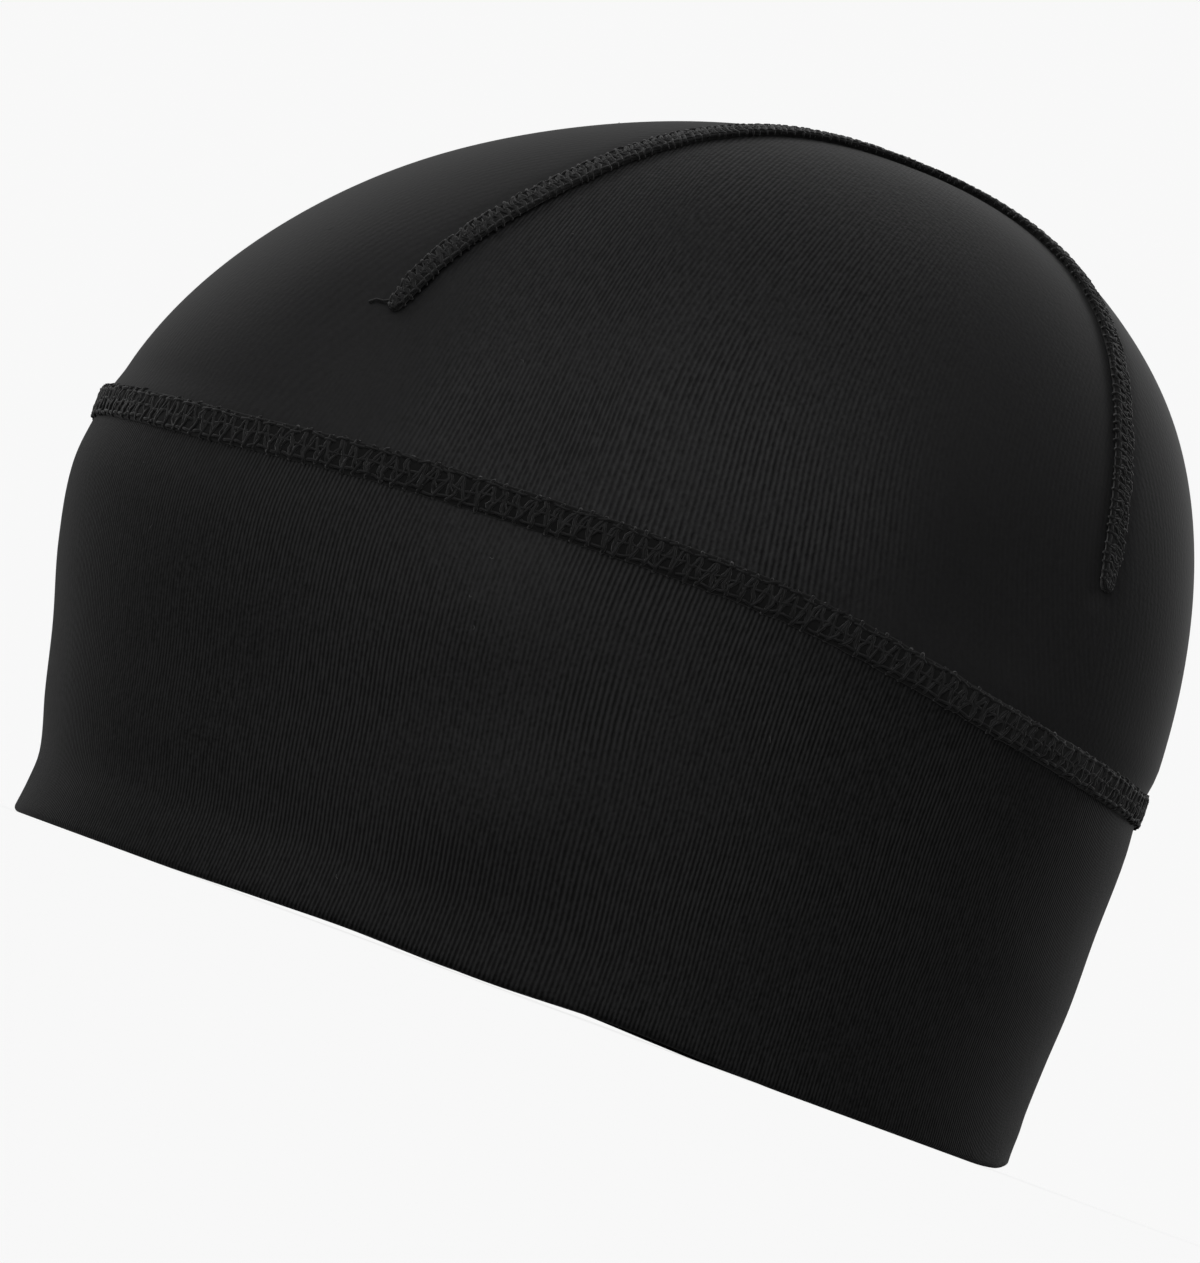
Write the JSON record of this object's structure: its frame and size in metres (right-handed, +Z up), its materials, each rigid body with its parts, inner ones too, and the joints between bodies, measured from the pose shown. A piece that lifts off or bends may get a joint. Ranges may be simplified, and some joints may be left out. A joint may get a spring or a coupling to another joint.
{
  "type": "sports hat",
  "caption": "Close-fitting stretch sports cap: a domed crown with two arched flat seams, flat-seamed to a tall plain band folded at the hem, open below for a head.",
  "frame": {"origin": "centre of the hat's box on the level of its hem, where it stands on a surface", "axes": "+Z up out of the crown, -Y towards the front, +Y towards the back, +X towards the wearer's left"},
  "size_m": [0.153, 0.2029, 0.1647],
  "materials": {
    "band_cloth": "near-black stretch jersey, doubled, matt with a faint sheen",
    "crown_cloth": "near-black stretch jersey, matt with a faint sheen and fine diagonal ribs",
    "seam_thread": "black cover stitching in textured thread"
  },
  "bodies": {
    "root": {"band": "band_cloth", "crown": "crown_cloth", "band_seam": "seam_thread", "crown_seam_left": "seam_thread", "crown_seam_right": "seam_thread"}
  },
  "joints": []
}
